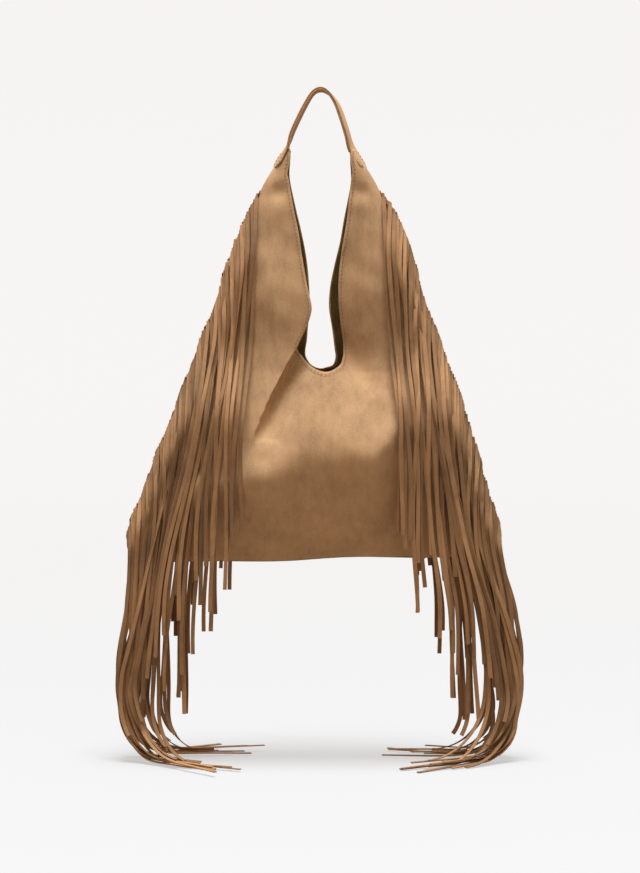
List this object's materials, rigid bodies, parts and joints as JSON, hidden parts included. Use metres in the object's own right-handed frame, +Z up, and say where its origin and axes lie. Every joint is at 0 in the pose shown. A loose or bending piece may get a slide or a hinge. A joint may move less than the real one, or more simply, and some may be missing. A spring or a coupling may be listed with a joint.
{
  "type": "fringed suede bag",
  "caption": "Slouchy suede hobo shoulder bag with a deep opening, one short strap and long cut fringe down both side seams.",
  "frame": {"origin": "underside of the shoulder strap's crown, in the middle of the bag", "axes": "+Z up, +X to the right seen from the front, the bag's front faces -Y"},
  "size_m": [0.5162, 0.2764, 0.8189],
  "materials": {
    "body_suede": "suede, short soft nap",
    "fringe_suede": "suede, cut thongs with raw edges",
    "strap_suede": "suede, stitched edges",
    "lining_cloth": "plain woven cloth, dark olive brown"
  },
  "bodies": {
    "root": {"front_panel": "body_suede", "back_panel": "body_suede", "front_lining": "lining_cloth", "back_lining": "lining_cloth", "fringe_left": "fringe_suede", "fringe_right": "fringe_suede", "strap_outer": "strap_suede", "strap_underside": "strap_suede"}
  },
  "joints": []
}
